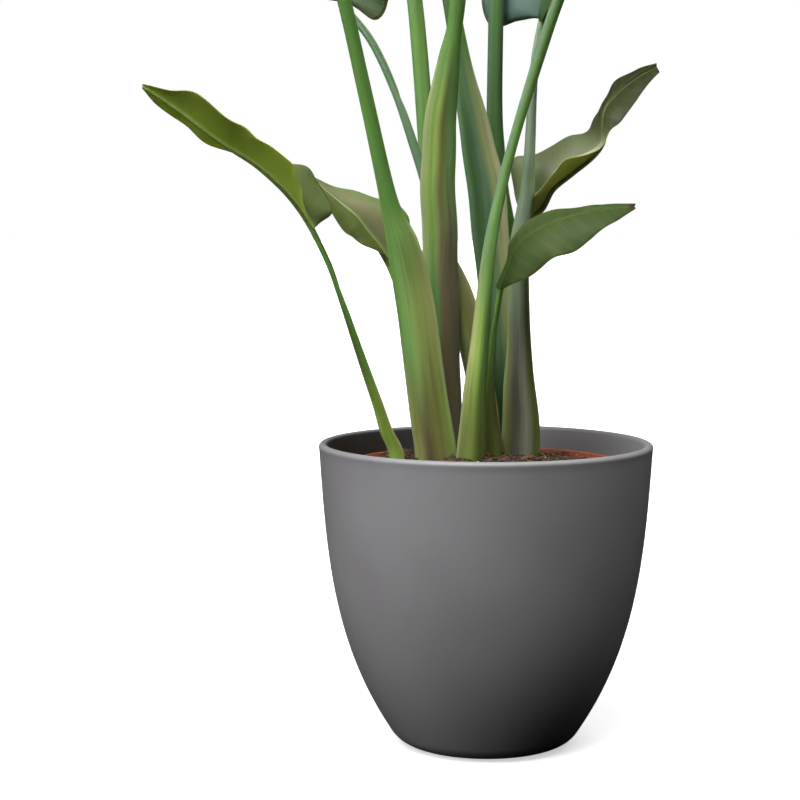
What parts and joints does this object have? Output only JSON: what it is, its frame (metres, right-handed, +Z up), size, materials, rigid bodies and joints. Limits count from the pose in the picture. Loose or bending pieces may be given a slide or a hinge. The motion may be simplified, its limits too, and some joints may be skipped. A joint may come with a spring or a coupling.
{
  "type": "potted bird of paradise",
  "caption": "Bird of paradise house plant with clasping leaf sheaths, tall stalks and paddle-shaped leaves, in a growing pot inside a round matte grey outer pot.",
  "frame": {"origin": "centre of the outer pot's flat foot, on the floor", "axes": "+Z up, -Y towards the viewer of the picture, +X to that viewer's right"},
  "size_m": [0.7666, 0.6219, 1.1265],
  "materials": {
    "outer_pot": "smooth matte grey",
    "nursery_pot": "matte terracotta-coloured plastic",
    "soil": "dark peat and bark with pale grains",
    "leaf_left_front_stalk": "fresh green stalk, satin, finely ribbed along its length",
    "leaf_left_front_blade": "fresh leathery leaf, satin, fine side veins",
    "leaf_left_slender_stalk": "fresh green stalk, satin, finely ribbed along its length",
    "leaf_left_slender_blade": "fresh leathery leaf, satin, fine side veins",
    "leaf_back_left_stalk": "fresh green stalk, satin, finely ribbed along its length",
    "leaf_back_left_blade": "fresh leathery leaf, satin, fine side veins",
    "leaf_centre_stalk": "fresh green stalk, satin, finely ribbed along its length",
    "leaf_centre_blade": "fresh leathery leaf, satin, fine side veins",
    "leaf_back_broad_stalk": "fresh green stalk, satin, finely ribbed along its length",
    "leaf_back_broad_blade": "fresh leathery leaf, satin, fine side veins",
    "leaf_back_upright_stalk": "fresh green stalk, satin, finely ribbed along its length",
    "leaf_back_upright_blade": "fresh leathery leaf, satin, fine side veins",
    "leaf_right_front_stalk": "fresh green stalk, satin, finely ribbed along its length",
    "leaf_right_front_blade": "fresh leathery leaf, satin, fine side veins",
    "leaf_right_back_stalk": "fresh green stalk, satin, finely ribbed along its length",
    "leaf_right_back_blade": "fresh leathery leaf, satin, fine side veins",
    "leaf_small_low_left_stalk": "fresh green stalk, satin, finely ribbed along its length",
    "leaf_small_low_left_blade": "fresh leathery leaf, satin, fine side veins",
    "leaf_small_inner_left_stalk": "fresh green stalk, satin, finely ribbed along its length",
    "leaf_small_inner_left_blade": "fresh leathery leaf, satin, fine side veins",
    "leaf_small_upper_right_stalk": "fresh green stalk, satin, finely ribbed along its length",
    "leaf_small_upper_right_blade": "fresh leathery leaf, satin, fine side veins",
    "leaf_small_lower_right_stalk": "fresh green stalk, satin, finely ribbed along its length",
    "leaf_small_lower_right_blade": "fresh leathery leaf, satin, fine side veins"
  },
  "bodies": {
    "root": {"outer_pot": "outer_pot", "nursery_pot": "nursery_pot", "soil": "soil", "leaf_left_front_stalk": "leaf_left_front_stalk", "leaf_left_front_blade": "leaf_left_front_blade", "leaf_left_slender_stalk": "leaf_left_slender_stalk", "leaf_left_slender_blade": "leaf_left_slender_blade", "leaf_back_left_stalk": "leaf_back_left_stalk", "leaf_back_left_blade": "leaf_back_left_blade", "leaf_centre_stalk": "leaf_centre_stalk", "leaf_centre_blade": "leaf_centre_blade", "leaf_back_broad_stalk": "leaf_back_broad_stalk", "leaf_back_broad_blade": "leaf_back_broad_blade", "leaf_back_upright_stalk": "leaf_back_upright_stalk", "leaf_back_upright_blade": "leaf_back_upright_blade", "leaf_right_front_stalk": "leaf_right_front_stalk", "leaf_right_front_blade": "leaf_right_front_blade", "leaf_right_back_stalk": "leaf_right_back_stalk", "leaf_right_back_blade": "leaf_right_back_blade", "leaf_small_low_left_stalk": "leaf_small_low_left_stalk", "leaf_small_low_left_blade": "leaf_small_low_left_blade", "leaf_small_inner_left_stalk": "leaf_small_inner_left_stalk", "leaf_small_inner_left_blade": "leaf_small_inner_left_blade", "leaf_small_upper_right_stalk": "leaf_small_upper_right_stalk", "leaf_small_upper_right_blade": "leaf_small_upper_right_blade", "leaf_small_lower_right_stalk": "leaf_small_lower_right_stalk", "leaf_small_lower_right_blade": "leaf_small_lower_right_blade"}
  },
  "joints": []
}
